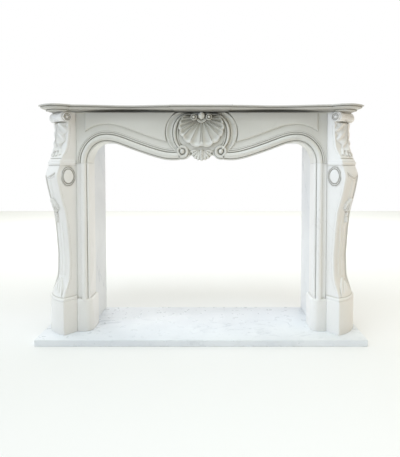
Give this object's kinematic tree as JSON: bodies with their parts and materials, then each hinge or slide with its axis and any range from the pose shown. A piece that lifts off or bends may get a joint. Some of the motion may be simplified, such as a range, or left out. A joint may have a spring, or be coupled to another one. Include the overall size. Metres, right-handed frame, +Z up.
{
  "type": "carved marble fireplace mantel",
  "caption": "White marble mantel with serpentine shelf, shell-carved arched lintel, roll-moulded jambs and canted scroll consoles, on a hearth slab.",
  "frame": {"origin": "bottom centre of the bounding box, under the middle of the hearth slab", "axes": "+X to the right along the mantel as seen from the room, +Y towards the wall, +Z up"},
  "size_m": [1.5234, 0.39, 1.105],
  "materials": {
    "carved_marble": "honed white marble with faint grey veins",
    "slab_marble": "honed white marble slab with soft grey veins",
    "hearth_marble": "polished white marble slab with grey veins and specks"
  },
  "bodies": {
    "root": {"hearth_slab": "hearth_marble", "left_console": "carved_marble", "right_console": "carved_marble", "left_jamb": "carved_marble", "right_jamb": "carved_marble", "lintel": "carved_marble", "shelf": "carved_marble", "left_reveal": "slab_marble", "right_reveal": "slab_marble", "top_reveal": "slab_marble", "left_return": "slab_marble", "right_return": "slab_marble"}
  },
  "joints": []
}
